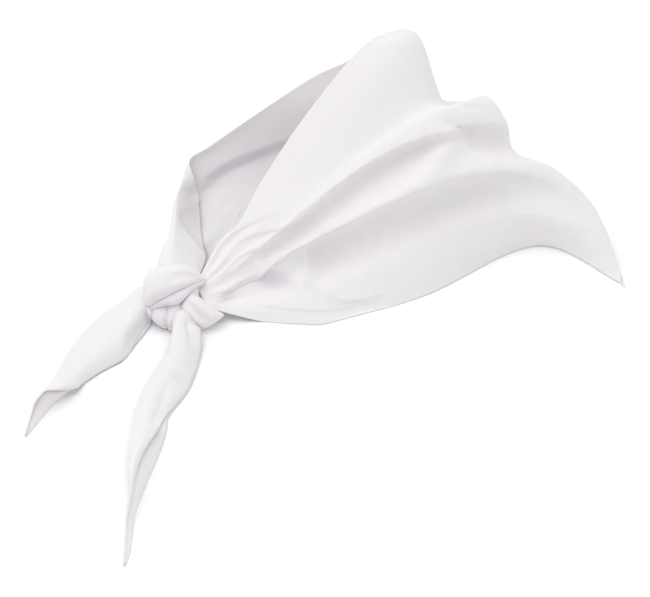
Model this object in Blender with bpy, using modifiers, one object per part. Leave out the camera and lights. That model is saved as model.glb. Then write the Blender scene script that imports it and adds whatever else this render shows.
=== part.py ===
"""A triangular cotton bandana tied into a neck loop by a knot, with two free tails, lying on a flat surface.

The cloth is one cut triangle. From the knot it opens into a near side and a far side, which meet along a
crest that runs from the top of the neck loop down to the triangle's point. The knot and the tails are the
same cloth. Lengths in the tables are millimetres, from a place near the knot. MIDDLE is the middle of the
bounding box in those tables, and the part's origin is under it.
"""

import math
from typing import NamedTuple

import bmesh
import bpy
from mathutils import Vector

MM = 0.001
THICKNESS = 1.6
FLOOR_GAP = THICKNESS / 2
BAND_GAP = 0.5
LEAN = math.radians(45.0)
MIDDLE = Vector((83.4, -42.4, 0.0))
WEAVE_COLOR = (0.84, 0.83, 0.86, 1.0)
WEAVE_ROUGHNESS = 0.85

CLOTH_COLUMNS = 32
CLOTH_STEPS = 40
TAIL_STEPS = 16
BAND_SIDES = 12
BAND_STEPS = 9


class Fold(NamedTuple):
    """One fold of the near side: points along it from the knot to the crest.

    Each point is (x, rise, relief): along X, up the leaning near side, and out of it.
    """

    share: float
    gather: tuple
    waist: tuple
    middle: tuple
    shoulder: tuple
    crest: tuple


class FarSection(NamedTuple):
    """One section across the far side, from the neck hem to the leg hem, as (x, y, z) points.

    Its stop is its place on the way from the knot, over the crest and back to the knot.
    """

    stop: float
    hem: tuple
    turn: tuple
    crease: tuple
    heel: tuple
    leg: tuple


class TailRow(NamedTuple):
    """One section across a folded tail: the folded side, and how far each layer reaches from it."""

    x: float
    y: float
    turn: float
    under: float
    over: float
    lift: float


class BandRow(NamedTuple):
    """One section across a band of the knot, on the leaning near side's axes."""

    x: float
    rise: float
    relief: float
    half_width: float
    half_depth: float


NEAR_FOLDS = (
    Fold(0.00, (24, 34, 4), (42, 68, 7), (72, 111, 7), (108, 154, 4), (131, 164, -6)),
    Fold(0.08, (26, 31, 6), (52, 63, 10), (88, 102, 10), (127, 148, 5), (144, 152, -8)),
    Fold(0.17, (28, 28, 8), (62, 56, 12), (102, 88, 10), (139, 117, -2), (156, 117, -16)),
    Fold(0.27, (30, 24, 9), (69, 51, 14), (114, 89, 12), (157, 114, 3), (181, 122, -14)),
    Fold(0.34, (32, 21, 8), (71, 48, 11), (117, 86, 8), (160, 103, -3), (193, 108, -20)),
    Fold(0.41, (34, 18, 7), (74, 44, 8), (122, 79, 2), (162, 92, -13), (196, 92, -30)),
    Fold(0.48, (36, 14, 9), (72, 40, 12), (120, 68, 10), (160, 89, -1), (203, 87, -24)),
    Fold(0.56, (38, 10, 10), (69, 35, 14), (114, 56, 14), (168, 75, 1), (221, 80, -20)),
    Fold(0.67, (40, 5, 10), (79, 25, 10), (120, 39, 6), (172, 64, -12), (242, 61, -22)),
    Fold(0.78, (42, 0, 13), (86, 15, 18), (129, 27, 8), (192, 52, -13), (253, 41, -17)),
    Fold(0.90, (44, -6, 14), (87, 0, 14), (138, 13, 2), (207, 41, -24), (259, 23, -14)),
    Fold(1.00, (46, -13, 14), (87, -14, 15), (143, 2, -1), (213, 33, -32), (263, 10, -9)),
)
NEAR_ROOT = ((9, 9, 10), (16, -5, 20))

NEAR_STOPS = (0.0, 0.06, 0.145, 0.24, 0.355, 0.45)
ROLL_STOP = 0.475

FAR_SHARES = (0.0, 0.10, 0.22, 0.45, 1.0)
FAR_SECTIONS = (
    FarSection(0.545, (114, 134, 88), (127, 136, 70), (144, 127, 48), (182, 110, 20), (243, 79, 1)),
    FarSection(0.615, (97, 130, 71), (106, 128, 56), (114, 124, 40), (144, 117, 14), (182, 106, 1)),
    FarSection(0.740, (50, 117, 47), (52, 115, 36), (55, 111, 21), (70, 106, 7), (102, 98, 1)),
    FarSection(0.840, (2, 91, 28), (1, 90, 19), (9, 84, 9), (30, 79, 4), (56, 74, 1)),
    FarSection(0.885, (8, 69, 19), (-6, 65, 10), (4, 64, 2), (20, 57, 2), (36, 50, 1)),
    FarSection(0.925, (12, 45, 16), (-8, 42, 9), (-14, 34, 5), (8, 36, 2), (22, 28, 1)),
    FarSection(0.965, (9, 19, 15), (-6, 17, 14), (-13, 14, 10), (-1, 14, 6), (10, 12, 3)),
    FarSection(1.000, (3, -4, 14), (-5, -4, 13), (-10, -5, 10), (-4, -6, 7), (3, -6, 5)),
)
CREST_ROLL = 9.0

TAIL_FOLD_RADIUS = 1.3
DOWN_TAIL = (
    TailRow(-4, -12, 0, 12, 11, 9),
    TailRow(-6, -26, 0, 15, 14, 7),
    TailRow(-13, -48, -6, 22, 21, 6.5),
    TailRow(-20, -65, -12, 25, 24, 5.5),
    TailRow(-27, -82, -14, 25, 23, 4.5),
    TailRow(-31, -100, -12, 20, 18, 3.5),
    TailRow(-33, -123, -8, 19, 10, 2),
    TailRow(-34, -142, -6, 15, 6, 1),
    TailRow(-33, -163, -4, 9, 4, 0),
    TailRow(-34, -182, -2, 5, 4, 0),
    TailRow(-35, -222, 0, 4.5, 4, 0),
)
LEFT_TAIL = (
    TailRow(-12, 1, -78, 20, 19, 12),
    TailRow(-26, 2, -73, 27, 25, 10.5),
    TailRow(-36, -5, -72, 35, 33, 8.5),
    TailRow(-46, -15, -74, 38, 36, 6.5),
    TailRow(-58, -32, -74, 34, 32, 5.5),
    TailRow(-67, -48, -70, 27, 25, 4.5),
    TailRow(-77, -70, -48, 14, 12, 2.5),
    TailRow(-84, -82, -70, 11, 5, 0.5),
    TailRow(-91, -98, -50, 7, 4, 0),
    TailRow(-96, -113, -40, 4.5, 4, 0),
)

KNOT_BANDS = {
    "core": (
        BandRow(-20, 0, 12, 10, 9),
        BandRow(-8, 2, 14, 16, 12),
        BandRow(6, 0, 14, 15, 12),
        BandRow(17, -2, 14, 10, 9),
    ),
    "top_wrap": (
        BandRow(13, 12, 22, 3, 4),
        BandRow(4, 14, 27, 7, 5),
        BandRow(-8, 13, 28, 10, 6),
        BandRow(-18, 8, 24, 11, 7),
        BandRow(-24, 2, 14, 9, 7),
    ),
    "under_band": (
        BandRow(6, 4, 24, 3, 4),
        BandRow(-6, 0, 25, 5, 5),
        BandRow(-18, -5, 20, 5, 5),
    ),
    "right_loop": (
        BandRow(-1, 0, 24, 4, 4),
        BandRow(7, -6, 27, 8, 6),
        BandRow(14, -11, 22, 8, 7),
        BandRow(18, -12, 14, 7, 6),
    ),
    "left_lobe": (
        BandRow(-18, -2, 22, 4, 4),
        BandRow(-16, -9, 23, 5, 5),
        BandRow(-14, -14, 20, 4, 4),
    ),
    "tail_lobe": (
        BandRow(-10, -3, 24, 4, 4),
        BandRow(-7, -12, 26, 4, 4),
        BandRow(-3, -20, 24, 6, 4),
    ),
}


def on_slope(point):
    """The world place of an (x, rise, relief) point of the leaning near side."""
    x, rise, relief = point
    back = rise * math.cos(LEAN) - relief * math.sin(LEAN)
    up = rise * math.sin(LEAN) + relief * math.cos(LEAN)
    return Vector((x, back, up))


def curve_at(points, stops, at):
    """A smooth curve through points that stand at the given stops, read at one place."""
    last = len(points) - 1
    span = max(i for i in range(last) if stops[i] <= at or i == 0)
    before, after = max(span - 1, 0), min(span + 2, last)
    length = stops[span + 1] - stops[span]
    part = (at - stops[span]) / length
    start_slope = (points[span + 1] - points[before]) / (stops[span + 1] - stops[before])
    end_slope = (points[after] - points[span]) / (stops[after] - stops[span])
    return (
        points[span] * (2 * part**3 - 3 * part**2 + 1)
        + start_slope * length * (part**3 - 2 * part**2 + part)
        + points[span + 1] * (3 * part**2 - 2 * part**3)
        + end_slope * length * (part**3 - part**2)
    )


def evenly(count):
    """Shares from 0 to 1 in equal steps."""
    return [i / count for i in range(count + 1)]


def along(points, count, stops=None):
    """Points at equal steps of a smooth curve through these points, which stand at the given stops."""
    stops = stops or evenly(len(points) - 1)
    return [curve_at(points, stops, at) for at in evenly(count)]


def near_line(share):
    """The near side's line at a share of the way from the neck hem to the leg hem, from knot to crest."""
    shares = [fold.share for fold in NEAR_FOLDS]
    root_start, root_end = (on_slope(point) for point in NEAR_ROOT)
    line = [root_start.lerp(root_end, share)]
    for station in ("gather", "waist", "middle", "shoulder", "crest"):
        places = [on_slope(getattr(fold, station)) for fold in NEAR_FOLDS]
        line.append(curve_at(places, shares, share))
    return line


def far_line(share, crest):
    """The far side's line at the same share, from just behind the crest to the knot."""
    drop = min(CREST_ROLL, (crest.z - FLOOR_GAP) / 2)
    line = [crest + Vector((-drop / 2, CREST_ROLL, -drop))]
    for section in FAR_SECTIONS:
        places = [Vector(point) for point in section[1:]]
        line.append(curve_at(places, FAR_SHARES, share))
    return line


def cloth_grid():
    """The open cloth as rows of points: one row for each share, from the neck hem to the leg hem."""
    stops = (*NEAR_STOPS, ROLL_STOP, *(section.stop for section in FAR_SECTIONS))
    grid = []
    for share in evenly(CLOTH_COLUMNS):
        near = near_line(share)
        row = along(near + far_line(share, near[-1]), CLOTH_STEPS, stops)
        grid.append([Vector((p.x, p.y, max(p.z, FLOOR_GAP))) for p in row])
    return grid


def tail_section(row):
    """A tail's section: from the upper layer's hem, round the folded side, to the lower layer's hem."""
    radius = TAIL_FOLD_RADIUS
    top = FLOOR_GAP + 2 * radius
    shape = []
    for share in (0.0, 0.25, 0.5, 0.75, 1.0):
        reach = row.over + (radius - row.over) * share
        shape.append((reach, top + row.lift * math.sin(math.pi * share)))
    for degrees in (135, 180, 225):
        angle = math.radians(degrees)
        shape.append((radius + radius * math.cos(angle), FLOOR_GAP + radius + radius * math.sin(angle)))
    for share in (0.0, 0.5, 1.0):
        shape.append((radius + (row.under - radius) * share, FLOOR_GAP))
    turn = math.radians(row.turn)
    return [
        Vector((row.x + reach * math.cos(turn), row.y + reach * math.sin(turn), height))
        for reach, height in shape
    ]


def tail_grid(rows):
    """A tail as sections from the knot to its tip."""
    sections = [tail_section(row) for row in rows]
    columns = [along(list(column), TAIL_STEPS) for column in zip(*sections)]
    return [list(section) for section in zip(*columns)]


def band_grid(rows):
    """A band of the knot as closed rings along its length."""
    centres = along([on_slope(row[:3]) for row in rows], BAND_STEPS)
    sizes = along([Vector((row.half_width, row.half_depth, 0)) for row in rows], BAND_STEPS)
    outward = on_slope((0, 0, 1))
    rings = []
    for step, (centre, size) in enumerate(zip(centres, sizes)):
        ahead = centres[min(step + 1, BAND_STEPS)] - centres[max(step - 1, 0)]
        across = ahead.cross(outward).normalized()
        face = across.cross(ahead).normalized()
        ring = []
        for side in range(BAND_SIDES):
            angle = math.tau * side / BAND_SIDES
            ring.append(centre + across * size.x * math.cos(angle) + face * size.y * math.sin(angle))
        rings.append([Vector((p.x, p.y, max(p.z, BAND_GAP))) for p in ring])
    return rings


def grid_faces(bm, grid, closed_ring=False):
    """Quads between neighbouring rows of points. Returns the vertices as rows."""
    rows = [[bm.verts.new((point - MIDDLE) * MM) for point in row] for row in grid]
    for upper, lower in zip(rows, rows[1:]):
        count = len(upper)
        for i in range(count if closed_ring else count - 1):
            j = (i + 1) % count
            bm.faces.new((upper[i], upper[j], lower[j], lower[i]))
    return rows


def mesh_object(name, bm, collection):
    """Adds the mesh to the collection as a smooth-shaded object."""
    bmesh.ops.recalc_face_normals(bm, faces=bm.faces)
    mesh = bpy.data.meshes.new(name)
    bm.to_mesh(mesh)
    bm.free()
    mesh.shade_smooth()
    obj = bpy.data.objects.new(name, mesh)
    collection.objects.link(obj)
    return obj


def sheet(name, grid, collection):
    """A sheet of cloth: an open surface, thickened to both sides."""
    bm = bmesh.new()
    grid_faces(bm, grid)
    obj = mesh_object(name, bm, collection)
    solidify = obj.modifiers.new("thickness", "SOLIDIFY")
    solidify.thickness = THICKNESS * MM
    solidify.offset = 0.0
    return obj


def band(name, rows, collection):
    """A closed band of the knot."""
    bm = bmesh.new()
    rings = grid_faces(bm, band_grid(rows), closed_ring=True)
    for ring in (rings[0], rings[-1]):
        bm.faces.new(ring)
    return mesh_object(name, bm, collection)


def join_to(obj, other):
    """Unites another closed piece of the same cloth with this one."""
    union = obj.modifiers.new("join_" + other.name, "BOOLEAN")
    union.operation = "UNION"
    union.solver = "EXACT"
    union.object = other
    other.hide_render = True
    other.display_type = "WIRE"


def cotton():
    """Plain white cotton."""
    material = bpy.data.materials.new("white_cotton")
    material.use_nodes = True
    shader = material.node_tree.nodes["Principled BSDF"]
    shader.inputs["Base Color"].default_value = WEAVE_COLOR
    shader.inputs["Roughness"].default_value = WEAVE_ROUGHNESS
    shader.inputs["Metallic"].default_value = 0.0
    return material


def clear_scene():
    """Removes every object that the scene starts with."""
    for obj in list(bpy.data.objects):
        bpy.data.objects.remove(obj)


def new_collection(name):
    """A collection under the scene's own."""
    collection = bpy.data.collections.new(name)
    bpy.context.scene.collection.children.link(collection)
    return collection


def main():
    """Builds the bandana as one closed solid."""
    clear_scene()
    parts = new_collection("bandana")
    joined = new_collection("joined_pieces")
    joined.hide_render = True
    bandana = sheet("bandana", cloth_grid(), parts)
    bandana.data.materials.append(cotton())
    for name, rows in KNOT_BANDS.items():
        join_to(bandana, band(name, rows, joined))
    for name, rows in (("down_tail", DOWN_TAIL), ("left_tail", LEFT_TAIL)):
        join_to(bandana, sheet(name, tail_grid(rows), joined))


main()
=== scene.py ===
"""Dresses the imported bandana: one thin white cotton cloth, knotted into a neck loop, with two free tails.

The cloth is modelled in the space of its solid. Lengths in the tables are millimetres on the leaning near
side: x runs from the knot toward the point, rise runs up the slope, and relief stands out of it.
"""

import logging
import math
from dataclasses import dataclass
from enum import Enum

import bmesh
import bpy
import numpy as np
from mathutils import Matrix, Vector


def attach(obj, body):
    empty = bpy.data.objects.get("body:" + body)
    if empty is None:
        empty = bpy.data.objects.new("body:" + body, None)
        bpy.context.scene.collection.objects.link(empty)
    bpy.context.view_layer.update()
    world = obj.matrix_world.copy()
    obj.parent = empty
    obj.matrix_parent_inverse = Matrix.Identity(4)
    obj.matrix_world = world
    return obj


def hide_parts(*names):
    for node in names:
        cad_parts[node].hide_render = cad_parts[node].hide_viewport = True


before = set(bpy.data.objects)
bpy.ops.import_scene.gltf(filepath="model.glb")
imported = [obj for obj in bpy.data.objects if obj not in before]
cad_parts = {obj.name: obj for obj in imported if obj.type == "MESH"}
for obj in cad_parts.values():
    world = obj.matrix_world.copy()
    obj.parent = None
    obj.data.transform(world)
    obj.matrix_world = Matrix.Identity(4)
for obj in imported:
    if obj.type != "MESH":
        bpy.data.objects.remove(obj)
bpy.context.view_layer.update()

LOG = logging.getLogger("bandana")
MM = 0.001
LEAN = math.radians(45.0)
OUTWARD = np.array([0.0, -math.sin(LEAN), math.cos(LEAN)])
# How many places along a crease's path are measured against the cloth.
PATH_SAMPLES = 60
# Below 1, a crease keeps its full height for longer before it fades at its ends.
END_FADE = 0.6
# How far a tuck takes to come back, in widths of the crease.
TUCK_RETURN = 2.5
# How far a hem takes to thin to the cloth, in millimetres.
HEM_BLEND = 0.8
# A wave texture runs 20 radians for each unit of its scale.
WAVE_RADIANS = 20.0


class Side(Enum):
    """The part of the cloth that a crease runs over."""

    NEAR = "near"
    FAR = "far"
    TAIL = "tail"
    KNOT = "knot"


class Profile(Enum):
    """The shape of a crease across its run.

    A soft crease is even on both sides of its path. A drop starts sharply at the path, is deepest one width
    to the right of it, and comes back slowly. A tuck does the same with a soft start and a slower return.
    """

    SOFT = "soft"
    DROP = "drop"
    TUCK = "tuck"


@dataclass(frozen=True)
class Fold:
    """One fold of the near side, as (x, rise, relief) points from the knot to the crest."""

    share: float
    gather: tuple[float, float, float]
    neck: tuple[float, float, float]
    waist: tuple[float, float, float]
    middle: tuple[float, float, float]
    shoulder: tuple[float, float, float]
    crest: tuple[float, float, float]

    def points(self) -> list[tuple[float, float, float]]:
        """The fold's points in order."""
        return [self.gather, self.neck, self.waist, self.middle, self.shoulder, self.crest]


@dataclass(frozen=True)
class FarSection:
    """One section across the far side, from the neck hem to the leg hem, as (x, y, z) points."""

    stop: float
    hem: tuple[float, float, float]
    turn: tuple[float, float, float]
    crease: tuple[float, float, float]
    heel: tuple[float, float, float]
    leg: tuple[float, float, float]

    def points(self) -> list[tuple[float, float, float]]:
        """The section's points in order."""
        return [self.hem, self.turn, self.crease, self.heel, self.leg]


@dataclass(frozen=True)
class Pleat:
    """A ridge that runs out of the knot along one line of the cloth and fades away."""

    share: float
    spread: float
    height: float
    reach: float


@dataclass(frozen=True)
class Crease:
    """A trough (height below 0) or ridge (above 0) along a path of (x, rise) places, shaped by its profile."""

    side: Side
    path: tuple[tuple[float, float], ...]
    width: float
    height: float
    profile: Profile = Profile.SOFT


@dataclass(frozen=True)
class TailRow:
    """One section across a folded tail, between two (x, rise) places on its sides.

    The cloth is folded along its left side. The upper layer reaches the share `over` of the way across and
    the lower layer the share `under`. The sides stand `rise_left` and `rise_right` above the floor, the upper
    layer bulges by `lift`, and its hem stands open by `gape`.
    """

    left: tuple[float, float]
    right: tuple[float, float]
    over: float
    under: float
    rise_left: float
    lift: float
    rise_right: float = 0.0
    gape: float = 0.0

    def values(self) -> list[float]:
        """The row's numbers in order."""
        sides = (self.rise_left, self.rise_right)
        return [*self.left, *self.right, self.over, self.under, self.lift, self.gape, *sides]


@dataclass(frozen=True)
class StrandRow:
    """One section across a strand of the knot, between two (x, rise) places on its sides.

    The strand's middle stands at `relief`, and its face bulges `depth` in front of that.
    """

    upper: tuple[float, float]
    lower: tuple[float, float]
    relief: float
    depth: float

    def values(self) -> list[float]:
        """The row's numbers in order."""
        return [*self.upper, *self.lower, self.relief, self.depth]


@dataclass(frozen=True)
class Strand:
    """A gathered length of cloth in the knot."""

    name: str
    rows: tuple[StrandRow, ...]


def on_slope(points: np.ndarray) -> np.ndarray:
    """Turns (x, rise, relief) places into (x, y, z) places.

    Args:
        points: Places on the leaning near side, with three numbers last.

    Returns:
        The same places along X, Y and Z.
    """
    x, rise, relief = np.moveaxis(np.asarray(points, float), -1, 0)
    back = rise * math.cos(LEAN) - relief * math.sin(LEAN)
    up = rise * math.sin(LEAN) + relief * math.cos(LEAN)
    return np.stack([x, back, up], axis=-1)


def seen_from_front(points: np.ndarray) -> np.ndarray:
    """The (x, rise) places of (x, y, z) points."""
    return np.stack([points[..., 0], points[..., 1] * math.cos(LEAN) + points[..., 2] * math.sin(LEAN)], axis=-1)


def curve(points: np.ndarray, stops: np.ndarray, at: np.ndarray) -> np.ndarray:
    """Reads a smooth curve through points at many places.

    Args:
        points: One entry for each stop, of any shape.
        stops: Where the entries stand, rising.
        at: The places to read.

    Returns:
        One entry for each place read.
    """
    points, stops, at = (np.asarray(v, float) for v in (points, stops, at))
    last = len(stops) - 1
    span = np.clip(np.searchsorted(stops, at, side="right") - 1, 0, last - 1)
    before, after = np.maximum(span - 1, 0), np.minimum(span + 2, last)
    wide = (len(at),) + (1,) * (points.ndim - 1)
    length = (stops[span + 1] - stops[span]).reshape(wide)
    part = (at - stops[span]).reshape(wide) / length
    start = (points[span + 1] - points[before]) / (stops[span + 1] - stops[before]).reshape(wide)
    end = (points[after] - points[span]) / (stops[after] - stops[span]).reshape(wide)
    return (
        points[span] * (2 * part**3 - 3 * part**2 + 1)
        + start * length * (part**3 - 2 * part**2 + part)
        + points[span + 1] * (3 * part**2 - 2 * part**3)
        + end * length * (part**3 - part**2)
    )


def surface_normals(surface: np.ndarray) -> np.ndarray:
    """Finds which way the cloth faces.

    Args:
        surface: A grid of (x, y, z) points.

    Returns:
        One unit normal for each point, square to both directions of the grid.
    """
    along, across = np.gradient(surface, axis=0), np.gradient(surface, axis=1)
    normal = np.cross(along, across)
    return normal / np.maximum(np.linalg.norm(normal, axis=-1, keepdims=True), 1e-9)


def run_lengths(surface: np.ndarray, axis: int) -> np.ndarray:
    """Measures along one direction of a grid, from its first row of points.

    Args:
        surface: A grid of (x, y, z) points.
        axis: 0 along the grid's rows, 1 across them.

    Returns:
        The length run to each point.
    """
    steps = np.linalg.norm(np.diff(surface, axis=axis), axis=-1)
    start = np.zeros_like(np.take(steps, [0], axis=axis))
    return np.concatenate([start, np.cumsum(steps, axis=axis)], axis=axis)


def hem_weights(surface: np.ndarray, hem_width: float) -> np.ndarray:
    """Finds the hems along both long sides of a grid.

    Args:
        surface: A grid of (x, y, z) points.
        hem_width: The width of the hem, in millimetres.

    Returns:
        1 on a hem and 0 off it for each point, with an easy change between.
    """
    width = run_lengths(surface, 1)
    to_hem = np.minimum(width, width[:, -1:] - width)
    return 1.0 - smooth_step((to_hem - hem_width) / HEM_BLEND)


def smooth_step(value: np.ndarray) -> np.ndarray:
    """0 below 0, 1 above 1, with an easy change between."""
    value = np.clip(value, 0.0, 1.0)
    return value * value * (3 - 2 * value)


def crease_heights(surface: np.ndarray, creases: list[Crease]) -> np.ndarray:
    """How far each point of a grid stands out for the creases that cross it.

    Args:
        surface: A grid of (x, y, z) points.
        creases: The creases to lay over it.

    Returns:
        One height for each point, in millimetres.
    """
    places = seen_from_front(surface)
    height = np.zeros(places.shape[:-1])
    at = np.linspace(0.0, 1.0, PATH_SAMPLES)
    for crease in creases:
        path = curve(np.array(crease.path), np.linspace(0.0, 1.0, len(crease.path)), at)
        ahead = np.gradient(path, axis=0)
        ahead /= np.linalg.norm(ahead, axis=-1, keepdims=True)
        away = places[..., None, :] - path
        nearest = np.linalg.norm(away, axis=-1).argmin(axis=-1)
        away = np.take_along_axis(away, nearest[..., None, None], axis=-2)[..., 0, :]
        ahead = ahead[nearest]
        distance = np.linalg.norm(away, axis=-1) / crease.width
        fade = np.sin(np.pi * at[nearest]) ** END_FADE
        shape = np.exp(-(distance**2))
        if crease.profile is not Profile.SOFT:
            on_left = ahead[..., 0] * away[..., 1] - ahead[..., 1] * away[..., 0] > 0
            drop = distance * np.exp(1.0 - distance)
            tuck = smooth_step(distance) * np.exp(-np.maximum(distance - 1.0, 0.0) / TUCK_RETURN)
            shape = np.where(on_left, 0.0, drop if crease.profile is Profile.DROP else tuck)
        height += crease.height * fade * shape
    return height


@dataclass
class ClothGrid:
    """A grid of cloth points, ready to be made a sheet."""

    name: str
    points: np.ndarray
    hem: np.ndarray


@dataclass
class Mantle:
    """The open cloth: the near side, the crest and the far side, as one sheet."""

    folds: tuple[Fold, ...]
    root: tuple[tuple[float, float, float], ...]
    near_stops: tuple[float, ...]
    roll_stop: float
    crest_roll: float
    far_shares: tuple[float, ...]
    far_sections: tuple[FarSection, ...]
    pleats: tuple[Pleat, ...]
    creases: tuple[Crease, ...]
    rows: int = 152
    knot_steps: int = 110
    crest_steps: int = 38
    far_steps: int = 44
    twist_steps: int = 58
    twist_start: float = 0.86
    crest_span: tuple[float, float] = (0.43, 0.55)
    edge_crowding: float = 0.35
    # Which way the cloth runs on over the crest, for each millimetre that it drops.
    roll_way: tuple[float, float, float] = (-0.5, 0.7, -1.0)
    # The near side's creases start to fade this far before the crest, and fade over this much of the way round.
    fade_lead: float = 0.03
    fade_span: float = 0.04
    pleat_start: float = 20.0
    hem_width: float = 2.2
    floor_gap: float = 0.35

    def shares(self) -> np.ndarray:
        """Where the rows run between the two hems, closer together by the hems."""
        even = np.linspace(0.0, 1.0, self.rows)
        return even - self.edge_crowding * np.sin(math.tau * even) / math.tau

    def stops(self) -> np.ndarray:
        """Spaces the columns, closer together over the crest and in the twist by the knot.

        Returns:
            Where the columns run, from 0 at the knot to 1 back at it.
        """
        start, end = self.crest_span
        return np.concatenate(
            [
                np.linspace(0.0, start, self.knot_steps, endpoint=False),
                np.linspace(start, end, self.crest_steps, endpoint=False),
                np.linspace(end, self.twist_start, self.far_steps, endpoint=False),
                np.linspace(self.twist_start, 1.0, self.twist_steps),
            ]
        )

    def base(self) -> np.ndarray:
        """Draws the cloth's main folds.

        Returns:
            A grid of (x, y, z) points, from the knot (first index) and from the neck hem (second index).
        """
        shares = self.shares()
        folds = on_slope([fold.points() for fold in self.folds])
        near = curve(folds, [fold.share for fold in self.folds], shares)
        start, end = on_slope(self.root)
        root = start + shares[:, None] * (end - start)
        sections = np.array([section.points() for section in self.far_sections])
        far = curve(sections.transpose(1, 0, 2), self.far_shares, shares)
        crest = near[:, -1]
        drop = np.minimum(self.crest_roll, crest[:, 2] / 2)
        roll = crest + drop[:, None] * np.array(self.roll_way)
        lines = np.concatenate([root[:, None], near, roll[:, None], far], axis=1)
        line_stops = [*self.near_stops, self.roll_stop, *(section.stop for section in self.far_sections)]
        return curve(lines.transpose(1, 0, 2), line_stops, self.stops())

    def pleat_heights(self, base: np.ndarray) -> np.ndarray:
        """Raises the small folds that run out of the knot, which fade with the distance from it.

        Args:
            base: The cloth's grid of points.

        Returns:
            One height for each point, in millimetres.
        """
        shares = self.shares()
        run = run_lengths(base, 0)
        run = np.minimum(run, run[-1] - run)
        height = np.zeros(run.shape)
        for pleat in self.pleats:
            across = np.exp(-(((shares - pleat.share) / pleat.spread) ** 2))
            height += pleat.height * across * np.exp(-((run / pleat.reach) ** 2))
        return height * smooth_step(run / self.pleat_start)

    def grid(self) -> ClothGrid:
        """Lays the pleats and creases over the main folds.

        Returns:
            The cloth's points and hems.
        """
        base = self.base()
        stops = self.stops()
        near = [crease for crease in self.creases if crease.side is Side.NEAR]
        far = [crease for crease in self.creases if crease.side is Side.FAR]
        on_near = 1.0 - smooth_step((stops - self.near_stops[-1] + self.fade_lead) / self.fade_span)[:, None]
        on_far = smooth_step((stops - self.roll_stop) / self.fade_span)[:, None]
        height = self.pleat_heights(base)
        height += on_near * crease_heights(base, near) + on_far * crease_heights(base, far)
        normals = surface_normals(base)
        if (normals[: self.knot_steps] @ OUTWARD).mean() < 0:
            normals = -normals
        points = base + normals * height[..., None]
        points[..., 2] = np.maximum(points[..., 2], self.floor_gap)
        return ClothGrid("mantle", points, hem_weights(base, self.hem_width))


@dataclass
class FoldedTail:
    """A tail of the cloth, folded along its length, from the knot to its tip."""

    name: str
    rows: tuple[TailRow, ...]
    creases: tuple[Crease, ...] = ()
    steps: int = 76
    layer_points: int = 17
    turn_points: int = 5
    fold_radius: float = 0.5
    # By its hem, the upper layer comes down by this share of its distance from the lower one.
    closing: float = 0.5
    least_over: float = 0.03
    floor_gap: float = 0.35
    hem_width: float = 2.0

    def section(self, row: np.ndarray) -> np.ndarray:
        """One section, from the upper layer's hem round the folded side to the lower layer's hem.

        Args:
            row: The values of a TailRow, in order.

        Returns:
            The section's (x, y, z) points.
        """
        left, right = row[0:2], row[2:4]
        over, under = max(row[4], self.least_over), row[5]
        lift, gape = np.maximum(row[6:8], 0.0)
        sides = np.maximum(row[8:10], 0.0)
        radius = self.fold_radius
        share = np.linspace(0.0, 1.0, self.layer_points)
        upper = over * (1.0 - share)
        lower = under * share
        reached = upper / over
        apart = 2 * radius * (1 - self.closing * reached)
        upper_height = self.lower_height(upper, sides) + apart + lift * np.sin(np.pi * reached) + gape * reached**2
        arc = np.linspace(math.pi / 2, 3 * math.pi / 2, self.turn_points + 2)[1:-1]
        arc_height = self.lower_height(0.0, sides) + radius + radius * np.sin(arc)
        across = right - left
        reach = np.concatenate([upper, radius * np.cos(arc) / np.linalg.norm(across), lower])
        height = np.concatenate([upper_height, arc_height, self.lower_height(lower, sides)])
        seen = left + reach[:, None] * across
        return np.stack([seen[:, 0], seen[:, 1] / math.cos(LEAN) - height, height], axis=-1)

    def lower_height(self, share: np.ndarray | float, sides: np.ndarray) -> np.ndarray | float:
        """The lower layer's height at a share of the way across from the folded side."""
        near_right = np.clip(np.square(share), 0.0, 1.0)
        return self.floor_gap + sides[0] * (1.0 - near_right) + sides[1] * near_right

    def grid(self) -> ClothGrid:
        """Draws the tail's sections, with its creases on the upper layer.

        Returns:
            The tail's points and hems.
        """
        values = np.array([row.values() for row in self.rows], float)
        read = curve(values, np.linspace(0.0, 1.0, len(values)), np.linspace(0.0, 1.0, self.steps))
        base = np.array([self.section(row) for row in read])
        normals = surface_normals(base)
        upper = np.zeros(base.shape[1])
        upper[: self.layer_points] = 1.0
        if (normals[:, : self.layer_points, 2]).mean() < 0:
            normals = -normals
        height = crease_heights(base, list(self.creases)) * upper
        points = base + normals * height[..., None]
        points[..., 2] = np.maximum(points[..., 2], self.floor_gap)
        return ClothGrid(self.name, points, hem_weights(base, self.hem_width))


@dataclass
class Knot:
    """The knot: gathered strands of the same cloth, laid over and under each other."""

    strands: tuple[Strand, ...]
    creases: tuple[Crease, ...] = ()
    sides: int = 44
    steps: int = 30
    fullness: float = 0.8
    floor_gap: float = 0.3

    def rings(self, strand: Strand) -> np.ndarray:
        """A strand as rings of points along its length.

        Args:
            strand: The strand to shape.

        Returns:
            A grid of (x, y, z) points, with one ring for each step.
        """
        values = np.array([row.values() for row in strand.rows])
        read = curve(values, np.linspace(0.0, 1.0, len(values)), np.linspace(0.0, 1.0, self.steps))
        angles = np.linspace(0.0, math.tau, self.sides, endpoint=False)
        middle, half = (read[:, 0:2] + read[:, 2:4]) / 2, (read[:, 0:2] - read[:, 2:4]) / 2
        seen = middle[:, None] + half[:, None] * np.cos(angles)[:, None]
        bulge = np.sign(np.sin(angles)) * np.abs(np.sin(angles)) ** self.fullness
        relief = read[:, 4:5] + read[:, 5:6] * bulge
        rings = on_slope(np.concatenate([seen, relief[..., None]], axis=-1))
        facing = np.clip(bulge, 0.0, 1.0)
        rings += OUTWARD * (crease_heights(rings, list(self.creases)) * facing)[..., None]
        rings[..., 2] = np.maximum(rings[..., 2], self.floor_gap)
        return rings


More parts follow.
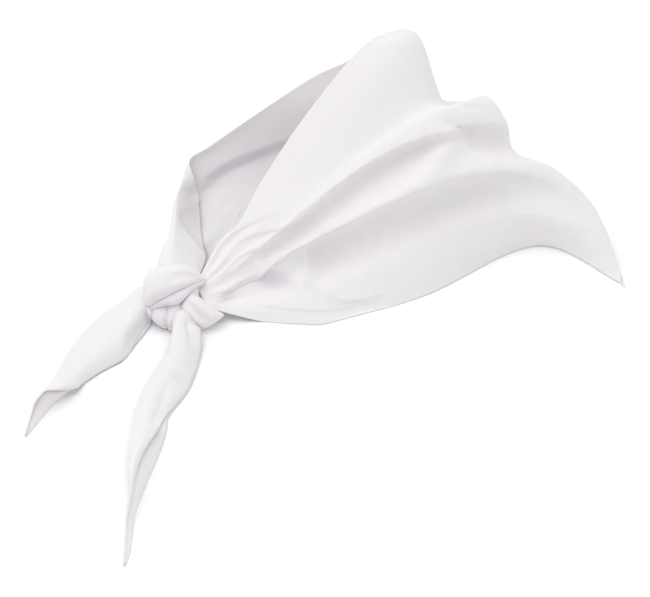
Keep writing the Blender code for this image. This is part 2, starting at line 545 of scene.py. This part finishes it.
@dataclass(frozen=True)
class CottonFinish:
    """Plain-woven, washed white cotton: matt, with a faint cool cast, a fine grain and a soft bloom at edges."""

    warp_hex: str = "#EBE9EB"
    slub_hex: str = "#E6E3E6"
    roughness: float = 0.86
    sheen: float = 0.12
    sheen_roughness: float = 0.5
    ior: float = 1.5
    # Thin cotton passes some light, so the side that faces away from it isn't dark.
    through_light: float = 0.35
    through_mm: float = 0.8
    # Real threads lie about 0.35 mm apart. They are drawn at 1.3 mm, the finest that shows from a step away.
    thread_mm: float = 1.3
    thread_wander: float = 0.6
    thread_relief_mm: float = 0.3
    thread_bump: float = 0.12
    # Thick places in the yarn, some 9 mm long.
    slub_mm: float = 9.0
    # Creases left by washing and folding.
    crumple_mm: float = 26.0
    crumple_relief_mm: float = 1.6
    crumple_bump: float = 0.35

    def material(self) -> bpy.types.Material:
        """Makes the finish a material.

        Returns:
            The material.
        """
        made = bpy.data.materials.new("plain_woven_cotton")
        made.use_nodes = True
        tree = made.node_tree
        shader = tree.nodes["Principled BSDF"]
        shader.inputs["Roughness"].default_value = self.roughness
        shader.inputs["Sheen Weight"].default_value = self.sheen
        shader.inputs["Sheen Roughness"].default_value = self.sheen_roughness
        shader.inputs["Subsurface Weight"].default_value = self.through_light
        shader.inputs["Subsurface Radius"].default_value = (1.0, 1.0, 1.0)
        shader.inputs["Subsurface Scale"].default_value = self.through_mm * MM
        shader.inputs["IOR"].default_value = self.ior
        place = add_node(tree, "ShaderNodeUVMap", {"uv_map": "weave"})
        threads = {
            "wave_type": "BANDS",
            "Scale": math.tau / (self.thread_mm * MM) / WAVE_RADIANS,
            "Distortion": self.thread_wander,
            "Detail": 1.0,
        }
        warp, weft = (
            add_node(
                tree, "ShaderNodeTexWave", {**threads, "bands_direction": way}, {"Vector": place.outputs["UV"]}
            )
            for way in "XY"
        )
        weave = add_node(
            tree, "ShaderNodeMath", {"operation": "MULTIPLY"}, {0: warp.outputs["Fac"], 1: weft.outputs["Fac"]}
        )
        slub = add_node(
            tree,
            "ShaderNodeTexNoise",
            {"Scale": 1.0 / (self.slub_mm * MM), "Detail": 3.0, "Roughness": 0.6},
            {"Vector": place.outputs["UV"]},
        )
        crumple = add_node(
            tree,
            "ShaderNodeTexNoise",
            {"Scale": 1.0 / (self.crumple_mm * MM), "Detail": 2.0, "Roughness": 0.45},
            {"Vector": place.outputs["UV"]},
        )
        tint = add_node(
            tree,
            "ShaderNodeMix",
            {"data_type": "RGBA", "A": linear(self.slub_hex), "B": linear(self.warp_hex)},
            {"Factor": slub.outputs["Fac"]},
        )
        grain = add_node(
            tree,
            "ShaderNodeBump",
            {"Strength": self.thread_bump, "Distance": self.thread_relief_mm * MM},
            {"Height": weave.outputs["Value"]},
        )
        relief = add_node(
            tree,
            "ShaderNodeBump",
            {"Strength": self.crumple_bump, "Distance": self.crumple_relief_mm * MM},
            {"Height": crumple.outputs["Fac"], "Normal": grain.outputs["Normal"]},
        )
        tree.links.new(tint.outputs["Result"], shader.inputs["Base Color"])
        tree.links.new(relief.outputs["Normal"], shader.inputs["Normal"])
        return made


def linear(code: str) -> tuple[float, float, float, float]:
    """Turns an sRGB colour into the values that a shader takes.

    Args:
        code: The colour, as "#RRGGBB".

    Returns:
        Linear red, green, blue and a full alpha.
    """
    channels = [int(code[i : i + 2], 16) / 255 for i in (1, 3, 5)]
    turned = [c / 12.92 if c <= 0.04045 else ((c + 0.055) / 1.055) ** 2.4 for c in channels]
    return (*turned, 1.0)


def add_node(tree: bpy.types.NodeTree, kind: str, settings: dict, links: dict | None = None) -> bpy.types.Node:
    """Adds a node with its settings and links.

    Args:
        tree: The material's nodes.
        kind: The node's type.
        settings: Values for the node's own options, or for its inputs by name.
        links: For each input, by name or number, the output that feeds it.

    Returns:
        The node.
    """
    node = tree.nodes.new(kind)
    for name, value in settings.items():
        if hasattr(node, name):
            setattr(node, name, value)
    for name, value in settings.items():
        if hasattr(node, name):
            continue
        sockets = [s for s in node.inputs if s.name == name and s.enabled]
        sockets[0].default_value = value
    for name, output in (links or {}).items():
        sockets = [s for s in node.inputs if s.name == name and s.enabled] if isinstance(name, str) else None
        tree.links.new(output, sockets[0] if sockets else node.inputs[name])
    return node


@dataclass
class Bandana:
    """The whole cloth, joined into one piece."""

    mantle: Mantle
    tails: tuple[FoldedTail, ...]
    knot: Knot
    finish: CottonFinish
    middle: tuple[float, float, float] = (83.4, -42.4, 0.0)
    cloth_thickness: float = 0.45
    hem_thickness: float = 0.55
    least_hem: float = 0.01
    long_hem: float = 0.85
    depth: float = 0.25

    def placed(self, points: np.ndarray) -> np.ndarray:
        """Table places as metres in the frame."""
        return (points - np.array(self.middle)) * MM

    def grid_object(self, name: str, points: np.ndarray, closed_ring: bool) -> bpy.types.Object:
        """Makes a mesh object of a grid of points, with its run lengths as a UV map.

        Args:
            name: The object's name.
            points: The grid, in table millimetres.
            closed_ring: Whether each row of points is a closed ring.

        Returns:
            The object.
        """
        across = run_lengths(points, 1) * MM
        along = run_lengths(points, 0) * MM
        mesh_builder = bmesh.new()
        layer = mesh_builder.loops.layers.uv.new("weave")
        rows = [[mesh_builder.verts.new(point) for point in line] for line in self.placed(points)]
        count = points.shape[1]
        for i in range(len(rows) - 1):
            for j in range(count if closed_ring else count - 1):
                k = (j + 1) % count
                face = mesh_builder.faces.new((rows[i][j], rows[i][k], rows[i + 1][k], rows[i + 1][j]))
                for loop, (a, b) in zip(face.loops, ((i, j), (i, k), (i + 1, k), (i + 1, j))):
                    loop[layer].uv = (across[a, b], along[a, b])
        if closed_ring:
            mesh_builder.faces.new(list(reversed(rows[0])))
            mesh_builder.faces.new(rows[-1])
        bmesh.ops.recalc_face_normals(mesh_builder, faces=mesh_builder.faces)
        mesh = bpy.data.meshes.new(name)
        mesh_builder.to_mesh(mesh)
        mesh_builder.free()
        mesh.shade_smooth()
        made = bpy.data.objects.new(name, mesh)
        bpy.context.scene.collection.objects.link(made)
        return made

    def sheet_object(self, grid: ClothGrid) -> bpy.types.Object:
        """Makes a thin sheet of a cloth grid, thicker along its hems.

        Args:
            grid: The cloth's points and hems.

        Returns:
            The sheet.
        """
        made = self.grid_object(grid.name, grid.points, closed_ring=False)
        group = made.vertex_groups.new(name="hem")
        for index, weight in enumerate(grid.hem.ravel()):
            if weight > self.least_hem:
                group.add([index], float(weight), "REPLACE")
        thickness = made.modifiers.new("thickness", "SOLIDIFY")
        thickness.thickness = self.hem_thickness * MM
        thickness.offset = 0.0
        thickness.vertex_group = "hem"
        thickness.thickness_vertex_group = self.cloth_thickness / self.hem_thickness
        activate(made)
        bpy.ops.object.modifier_apply(modifier=thickness.name)
        return made

    def build(self) -> bpy.types.Object:
        """Models the pieces, joins them and dresses the cloth.

        Returns:
            The finished cloth.
        """
        cloth = self.sheet_object(self.mantle.grid())
        others = [self.sheet_object(tail.grid()) for tail in self.tails]
        for strand in self.knot.strands:
            others.append(self.grid_object(strand.name, self.knot.rings(strand), closed_ring=True))
        activate(cloth, others)
        bpy.ops.object.join()
        cloth.name = "bandana_cloth"
        cloth.data.name = "bandana_cloth"
        cloth.data.materials.clear()
        cloth.data.materials.append(self.finish.material())
        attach(cloth, "root")
        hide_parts("bandana")
        LOG.info("%s: %d faces", cloth.name, len(cloth.data.polygons))
        return cloth


def activate(chosen: bpy.types.Object, others: list[bpy.types.Object] | None = None) -> None:
    """Selects one object, and any others with it, and makes it the active one.

    Args:
        chosen: The object to make active.
        others: More objects to select.
    """
    bpy.ops.object.select_all(action="DESELECT")
    for obj in [chosen, *(others or [])]:
        obj.select_set(True)
    bpy.context.view_layer.objects.active = chosen


@dataclass
class Studio:
    """A plain pale floor, soft light and the camera."""

    floor_size: float = 6.0
    # The floor lies just under the object, so that the two faces don't coincide.
    floor_drop: float = 0.0002
    floor_hex: str = "#FBFBFC"
    floor_roughness: float = 0.95
    floor_shine: float = 0.1
    world_hex: str = "#FCFBFC"
    world_strength: float = 0.80
    key_power: float = 26.0
    key_size: float = 2.2
    key_place: tuple[float, float, float] = (-0.5, 0.25, 2.3)
    target: tuple[float, float, float] = (0.0006, 0.0037, 0.040)
    view_width: float = 0.390
    lens: float = 900.0
    far_limit: float = 100.0
    elevation: float = 45.0

    def build(self) -> None:
        """Adds the floor, the lights and the camera."""
        self.build_floor()
        self.build_light()
        self.build_camera()

    def build_floor(self) -> None:
        """Adds a floor of pale matt paper under the object."""
        bpy.ops.object.select_all(action="DESELECT")
        bpy.ops.mesh.primitive_plane_add(size=self.floor_size, location=(0.0, 0.0, -self.floor_drop))
        floor = bpy.context.object
        floor.name = "studio_floor"
        paper = bpy.data.materials.new("matt_white_paper")
        paper.use_nodes = True
        shader = paper.node_tree.nodes["Principled BSDF"]
        shader.inputs["Base Color"].default_value = linear(self.floor_hex)
        shader.inputs["Roughness"].default_value = self.floor_roughness
        shader.inputs["Specular IOR Level"].default_value = self.floor_shine
        floor.data.materials.append(paper)

    def build_light(self) -> None:
        """Adds an even pale surround and one broad key light from the upper left."""
        world = bpy.data.worlds.new("pale_surround")
        world.use_nodes = True
        back = world.node_tree.nodes["Background"]
        back.inputs["Color"].default_value = linear(self.world_hex)
        back.inputs["Strength"].default_value = self.world_strength
        bpy.context.scene.world = world
        key = bpy.data.lights.new("key", "AREA")
        key.energy = self.key_power
        key.size = self.key_size
        lamp = bpy.data.objects.new("key", key)
        lamp.location = self.key_place
        lamp.rotation_euler = (Vector(self.target) - Vector(self.key_place)).to_track_quat("-Z", "Y").to_euler()
        bpy.context.scene.collection.objects.link(lamp)

    def build_camera(self) -> None:
        """Adds a long-lens camera that looks down on the leaning near side."""
        data = bpy.data.cameras.new("camera")
        data.lens = self.lens
        distance = self.view_width * self.lens / data.sensor_width
        data.clip_end = self.far_limit
        camera = bpy.data.objects.new("camera", data)
        tilt = math.radians(self.elevation)
        camera.location = Vector(self.target) + distance * Vector((0.0, -math.cos(tilt), math.sin(tilt)))
        camera.rotation_euler = (math.pi / 2 - tilt, 0.0, 0.0)
        bpy.context.scene.collection.objects.link(camera)
        bpy.context.scene.camera = camera
        bpy.context.scene.view_settings.view_transform = "Standard"


def near_crease(*path: tuple[float, float], width: float, height: float) -> Crease:
    """A soft trough or ridge of the near side."""
    return Crease(Side.NEAR, path, width, height)


def near_drop(*path: tuple[float, float], width: float, depth: float) -> Crease:
    """A sharp fold edge of the near side, with the cloth on the right of its path dropping off."""
    return Crease(Side.NEAR, path, width, -depth, Profile.DROP)


def far_tuck(*path: tuple[float, float], width: float, depth: float) -> Crease:
    """A soft-edged fold of the inner face of the far side, whose height runs away from the viewer."""
    return Crease(Side.FAR, path, width, depth, Profile.TUCK)


def far_drop(*path: tuple[float, float], width: float, depth: float) -> Crease:
    """A fold edge seen on the inner face of the far side, whose height runs away from the viewer."""
    return Crease(Side.FAR, path, width, depth, Profile.DROP)


def tail_fold(*path: tuple[float, float], width: float, height: float) -> Crease:
    """A soft trough or ridge along a tail."""
    return Crease(Side.TAIL, path, width, height)


def tail_drop(*path: tuple[float, float], width: float, depth: float) -> Crease:
    """A sharp fold edge of a tail, with the cloth on the right of its path dropping off."""
    return Crease(Side.TAIL, path, width, -depth, Profile.DROP)


def knot_fold(*path: tuple[float, float], width: float, height: float) -> Crease:
    """A soft trough or ridge over the knot."""
    return Crease(Side.KNOT, path, width, height)


def bandana_mantle() -> Mantle:
    """The open cloth's folds, pleats and creases."""
    return Mantle(
        folds=(
            Fold(0.00, (20.5, 35, 5), (32, 46, 6), (43.5, 68, 7), (72, 111, 7), (108, 154, 4), (131, 164, -5)),
            Fold(0.08, (24, 32, 7), (37, 46, 8.5), (52, 63, 9), (88, 102, 9), (125, 148, 5), (142, 157, -7)),
            Fold(0.17, (28, 28, 8), (44, 41, 10), (62, 56, 11), (102, 90, 9), (139, 118, 1), (157, 118, -14)),
            Fold(0.27, (30, 25, 9), (48, 38, 11.5), (68, 53, 13), (112, 90, 11), (156, 114, 4), (181, 123, -10)),
            Fold(0.34, (32, 21, 9), (50, 35, 12), (71, 50, 14), (116, 85, 12), (160, 104, 5), (193, 108, -11)),
            Fold(0.41, (34, 18, 7), (53, 31, 7), (74, 45, 7), (119, 79, 5), (162, 97, -1), (196, 94, -17)),
            Fold(0.48, (36, 14, 9), (54, 26, 10), (73, 38, 11), (121, 66, 9), (162, 88, 1), (203, 87, -18)),
            Fold(0.56, (38, 10, 10), (54, 22, 12.5), (71, 33, 14), (116, 56, 14), (168, 76, 2), (221, 80, -19)),
            Fold(0.67, (40, 5, 8.5), (59, 15, 8), (79, 24, 9), (120, 38, 5), (172, 63, -12), (242, 61, -20)),
            Fold(0.78, (42, 0, 10), (63, 7, 10.5), (86, 14, 13), (129, 26, 5.5), (192, 51, -15), (253, 41, -17)),
            Fold(0.90, (44, -6, 14), (65, -4, 14), (87, 0, 14), (138, 13, 2), (207, 41, -23), (259, 23, -14)),
            Fold(
                1.00,
                (46, -13, 13.5),
                (66, -14.3, 14.7),
                (87, -14, 14.5),
                (143, 2, -1.5),
                (213, 33, -32.5),
                (263, 10, -9.5),
            ),
        ),
        root=((6, 9, 12), (13, -4, 21)),
        near_stops=(0.0, 0.06, 0.10, 0.145, 0.24, 0.355, 0.45),
        roll_stop=0.475,
        crest_roll=9.0,
        far_shares=(0.0, 0.10, 0.22, 0.45, 1.0),
        far_sections=(
            FarSection(0.545, (114, 136, 84), (127, 136, 70), (144, 127, 48), (182, 110, 20), (243, 79, 1)),
            FarSection(0.615, (97, 137, 67.5), (106, 129, 55), (114, 124, 40), (144, 117, 14), (182, 106, 1)),
            FarSection(0.660, (80, 134, 60), (86, 125, 48), (92, 119, 33), (117, 113, 11), (153, 103, 1)),
            FarSection(0.740, (50, 121, 46), (52, 116, 36), (55, 110, 24), (70, 104, 10), (102, 98, 1)),
            FarSection(0.810, (13, 100, 31), (14, 97, 24), (22, 92, 15), (42, 87, 7), (70, 82, 1)),
            FarSection(0.840, (2, 92, 28), (0, 89, 22), (6, 84, 12), (28, 78, 6), (56, 73, 1)),
            FarSection(0.862, (5, 83, 20), (-3, 79, 22), (0, 75, 8), (24, 68, 3), (46, 62, 1)),
            FarSection(0.890, (7, 77, 10), (-6, 66, 21), (-5, 64, 6), (18, 56, 2), (35, 49, 1)),
            FarSection(0.925, (9.5, 55, 6), (-6.5, 44, 19), (-9, 41, 8), (8, 37, 3), (22, 30, 1)),
            FarSection(0.945, (11, 39, 8.5), (-7, 30, 18.5), (-15.5, 29, 8), (3, 26, 4), (16, 20, 2)),
            FarSection(0.965, (11.5, 22, 10), (-7.5, 16, 17), (-17, 16, 9), (-1, 14, 6), (10, 12, 3)),
            FarSection(1.000, (4, -3, 13), (-5, -4, 13), (-10, -5, 10), (-4, -6, 7), (3, -6, 5)),
        ),
        pleats=(
            Pleat(share=0.02, spread=0.02, height=0.7, reach=50),
            Pleat(share=0.08, spread=0.03, height=-0.9, reach=55),
            Pleat(share=0.15, spread=0.03, height=1.0, reach=60),
            Pleat(share=0.24, spread=0.03, height=-1.0, reach=55),
            Pleat(share=0.44, spread=0.03, height=-0.9, reach=50),
            Pleat(share=0.54, spread=0.04, height=0.8, reach=60),
            Pleat(share=0.70, spread=0.03, height=-1.0, reach=45),
            Pleat(share=0.84, spread=0.04, height=0.9, reach=60),
        ),
        creases=(
            # The upper ridge, which drops off sharply below.
            near_drop(
                (30, 18), (44, 30), (61, 45), (80, 61), (101, 76), (116, 85), (132, 93), (151, 100), (168, 104),
                (190, 105), (212, 104),
                width=6.5, depth=3.4,
            ),
            # The small peak in front of the pocket under the right-hand crest.
            near_crease((140, 64), (147, 76), (154, 88), (160, 97), (163, 104), width=8, height=5.0),
            # That pocket's lower edge, which runs up behind the peak.
            near_drop(
                (230, 89), (205, 87.5), (188, 88), (176, 89.5), (169.5, 95.5), (163, 101), (156.5, 101), (150, 97),
                width=4, depth=2.6,
            ),
            # The middle ridge, and the long valley under it.
            near_crease(
                (28, 15), (44, 24), (73, 35), (101, 49), (124, 60), (151, 71), (176, 77), (205, 78),
                width=4, height=1.6,
            ),
            near_drop(
                (28, 13), (44, 22), (73, 33), (101, 47), (124, 58), (151, 69), (176, 75), (205, 75), (230, 66),
                width=5, depth=3.2,
            ),
            # The broad hollow in that valley's left part, and its shallow run toward the point.
            near_drop((64, 26), (84, 36), (101, 45.5), (120, 56), (144, 67), width=12, depth=6),
            near_crease((160, 56), (180, 64), (207, 66), (234, 60), (250, 42), width=9, height=-1.2),
            # That hollow's left edge.
            near_drop((71, 4), (73.5, 15), (75, 24), (76, 32), (79, 42), width=6.5, depth=4.2),
            # The hollow by the knot.
            near_drop((16, -4), (29, 9), (41, 16), (53, 17), (68, 11), width=4.5, depth=4.6),
            near_crease((22, 2), (32, 9), (44, 12), (56, 10), (66, 5), width=5, height=-3.2),
            # Low folds along the bottom hem.
            near_drop((70, 14), (89, 2), (105, 0), (122, 5), width=4, depth=1.7),
            near_drop((20, 0), (47, -3), (67, -5.5), (92, -5.5), (122, 1), width=2.0, depth=0.8),
            # Fine folds in the gather.
            near_drop((15, 20), (21, 33), (34, 44), (54, 52), width=2.2, depth=1.4),
            near_drop((18, 16), (31, 34), (47, 41), (67, 45), (80, 54), width=2.2, depth=1.4),
            near_drop((19, 12), (34, 27), (56, 33), (76, 38), width=2.2, depth=1.2),
            # A dimple on top of the right-hand crest.
            near_crease((156, 119), (168, 117), (180, 115), width=2.0, height=-0.9),
            # The long fold across the inner face of the far side.
            far_tuck(
                (2, 60), (5, 67.6), (9, 72.8), (18.6, 81.2), (32.4, 87.9), (46.5, 93.2), (54.6, 96.2), (70, 102.5),
                width=7, depth=4.8,
            ),
            # The slanting fold across the turned-over strip, and a soft one beside it.
            far_drop((16, 21), (11.4, 27), (6.6, 33.2), (1.1, 40.1), (-2.4, 45.6), (-5, 54), width=3.5, depth=-2.3),
            far_tuck((13, 18), (9, 25), (4, 31), (-1.5, 38), (-5, 44), width=4, depth=1),
        ),
    )


def down_tail() -> FoldedTail:
    """The tail that hangs toward the near edge."""
    return FoldedTail(
        "down_tail",
        (
            TailRow((-5, -5), (3, -6), 0.95, 1.0, 11, 2, 10),
            TailRow((-6.8, -13), (5.6, -14), 0.95, 1.0, 11, 3, 8.5),
            TailRow((-7.8, -21), (9.4, -18.6), 0.96, 1.0, 9.5, 4, 6),
            TailRow((-12.6, -34), (9.6, -30), 0.96, 1.0, 6, 5, 2),
            TailRow((-20.4, -45.6), (7.2, -42.6), 0.96, 1.0, 4.5, 5),
            TailRow((-27, -58.2), (1.8, -55.2), 0.96, 1.0, 4.5, 4.5),
            TailRow((-30.6, -70.8), (-9, -69), 0.94, 1.0, 6, 4, 0, 1.5),
            TailRow((-32, -80), (-10.8, -78), 0.72, 1.0, 10, 4, 0, 3),
            TailRow((-33.2, -91), (-15, -91.2), 0.48, 1.0, 12.5, 4.5, 0, 3.5),
            TailRow((-33.4, -103), (-20, -103.5), 0.34, 1.0, 12.5, 4.5, 0, 3),
            TailRow((-32.6, -115.2), (-25, -115.5), 0.20, 1.0, 9.5, 3.5, 0, 2),
            TailRow((-34, -128.4), (-29.3, -128.4), 0.12, 1.0, 6.5, 2.2, 0, 1),
            TailRow((-34.8, -147), (-31.4, -147), 0.10, 1.0, 3.5, 0.2),
            TailRow((-35.4, -157.2), (-34.0, -156.8), 0.10, 1.0, 0.5, 0.0),
        ),
        (
            tail_fold((-4, -18), (-5, -25), (-10, -43), (-8.6, -55), (-13.7, -71), (-18, -84), width=3.2, height=1.2),
            tail_fold((-7, -44), (-11, -54), (-13, -63), (-18, -76), width=5, height=-4.4),
            tail_fold((-5, -6), (-4.6, -14), (-6.4, -22), (-9, -32), width=1.6, height=1.5),
            tail_fold((0.5, -11), (2.6, -17), (4.0, -22), (5.0, -28), width=2.6, height=-3.4),
            tail_fold((6, -15), (8.6, -21), (8.8, -28), (8.4, -44), width=1.0, height=0.9),
        ),
    )


def left_tail() -> FoldedTail:
    """The tail that lies out to the left."""
    return FoldedTail(
        "left_tail",
        (
            TailRow((-14, 8), (-11, -8), 1.0, 0.95, 9, 3, 4),
            TailRow((-27.6, 7.2), (-19.8, -12.6), 1.0, 0.95, 8, 5, 2),
            TailRow((-36.6, 0), (-21, -16.8), 1.0, 0.95, 6.5, 5),
            TailRow((-46.8, -6.6), (-27, -25.2), 1.0, 0.95, 5, 4.5),
            TailRow((-59.4, -18), (-36.6, -35.4), 1.0, 0.95, 4, 4),
            TailRow((-68.4, -30), (-49.8, -42.6), 1.0, 0.95, 4.5, 3),
            TailRow((-75.6, -42), (-60, -49), 1.0, 0.95, 6, 2, 0, 0.5),
            TailRow((-80.6, -50.4), (-67, -53.6), 0.98, 0.98, 8, 3, 0, 3.5),
            TailRow((-84.5, -54.6), (-72, -57), 0.03, 1.0, 10, 4),
            TailRow((-89.5, -61), (-79, -62.6), 0.03, 1.0, 7, 3.6),
            TailRow((-92, -69), (-86, -70.6), 0.03, 1.0, 4, 2),
            TailRow((-95.4, -81), (-94.6, -81.4), 0.06, 1.0, 0.5, 0.0),
        ),
        (
            tail_fold((-24, 4), (-29, -10), (-35, -21), (-37, -34), width=4, height=1.4),
            tail_drop((-40, -36), (-37.4, -22), (-32.3, -10), (-27, 8), width=8, depth=2.4),
            tail_fold((-46, -10), (-56, -24), (-66, -38), (-74, -46), width=5, height=-0.9),
        ),
    )


def bandana_knot() -> Knot:
    """The knot's strands, from the back to the front, and the creases over them."""
    return Knot(
        (
            Strand(
                "core",
                (
                    StrandRow((-22, 6), (-21, -5), 10, 4),
                    StrandRow((-16, 16), (-15, -10), 12, 8),
                    StrandRow((-4, 17), (-3, -12), 12, 10),
                    StrandRow((6, 14), (7, -11), 11, 9),
                    StrandRow((9, 6), (9.5, -5), 6, 2),
                ),
            ),
            Strand(
                "small_roll",
                (
                    StrandRow((-23, -3), (-20, -2), 19, 2),
                    StrandRow((-23.6, -5.6), (-20, -4.5), 20, 3),
                    StrandRow((-22.8, -9), (-19.6, -8.3), 20, 3),
                    StrandRow((-21, -11.6), (-19, -10.5), 18, 2),
                ),
            ),
            Strand(
                "left_lobe",
                (
                    StrandRow((-20.5, -2), (-9.5, -1), 17, 4),
                    StrandRow((-20.8, -7), (-9.4, -7), 19, 6),
                    StrandRow((-20, -12), (-9.6, -12), 19.5, 6),
                    StrandRow((-17, -15), (-10.4, -16), 18.5, 5),
                    StrandRow((-14, -16.6), (-11, -17.6), 17.5, 2),
                ),
            ),
            Strand(
                "middle_lobe",
                (
                    StrandRow((-11.5, 0), (-0.5, 1), 18, 3),
                    StrandRow((-12, -8), (-1.5, -6), 20, 5.5),
                    StrandRow((-11.8, -14), (-4.5, -13), 20.5, 5.5),
                    StrandRow((-10, -18.3), (-6.5, -18.8), 19, 3),
                ),
            ),
            Strand(
                "under_band",
                (
                    StrandRow((-22, -3), (-20, -6.4), 20, 4),
                    StrandRow((-13.5, 2), (-12.8, -3.8), 21, 7),
                    StrandRow((-6, 6), (-5.2, -3), 21, 8.5),
                    StrandRow((0, 9), (0, 0.4), 20, 8),
                    StrandRow((6, 11.5), (5, 6), 18, 6),
                    StrandRow((11.5, 13), (11.5, 10), 16, 3),
                ),
            ),
            Strand(
                "right_loop",
                (
                    StrandRow((3.4, 5), (0.5, 2), 19, 4),
                    StrandRow((6.8, 3), (-2.8, -3.8), 20, 7.5),
                    StrandRow((12, -0.8), (-0.8, -9), 20, 9),
                    StrandRow((16.5, -4.1), (4.5, -14.3), 20, 8),
                    StrandRow((20.3, -6.8), (9.8, -17.6), 20, 6),
                    StrandRow((22.9, -8.4), (16.5, -14.6), 19, 4),
                    StrandRow((23.5, -9.4), (21.5, -11), 17, 2),
                ),
            ),
            Strand(
                "top_wrap",
                (
                    StrandRow((-25.6, 11), (-25, 0), 20, 4),
                    StrandRow((-22.5, 17), (-22.6, -4), 21, 9),
                    StrandRow((-16.5, 20.3), (-15, -0.6), 22, 11),
                    StrandRow((-7.5, 21.2), (-6, 3.9), 22, 11),
                    StrandRow((0, 21), (1.5, 7.9), 21, 9.5),
                    StrandRow((6, 18.6), (6.8, 10.4), 19, 7),
                    StrandRow((11.5, 13.6), (11.8, 12), 16, 2.5),
                ),
            ),
        ),
        (
            knot_fold((-2, -2), (3, -3.5), (8, -9.5), (14, -14), width=2.4, height=-2.6),
            knot_fold((3, 4), (9, -1), (14, -7), (17, -12), width=1.8, height=1.0),
            knot_fold((-3, -6), (1, -11), (7, -16), width=1.2, height=0.9),
            knot_fold((11, 13.5), (4, 14.5), (-3, 14.5), (-11, 12), width=3.2, height=-1.8),
            knot_fold((-16, 1), (-6, 6), (2, 10), (12, 13.4), width=1.6, height=0.9),
            knot_fold((10, 15), (0, 18), (-8, 18), (-16, 15), width=2.2, height=0.8),
            knot_fold((-24, 2), (-14, 5), (-4, 9), (6, 12), width=3.0, height=0.9),
            knot_fold((-17, -5), (-16.5, -10), (-15, -15), width=1.3, height=-0.9),
        ),
    )


def main() -> None:
    """Builds the studio and the cloth."""
    logging.basicConfig(level=logging.INFO, format="%(message)s")
    Studio().build()
    Bandana(bandana_mantle(), (down_tail(), left_tail()), bandana_knot(), CottonFinish()).build()


if __name__ == "__main__":
    main()
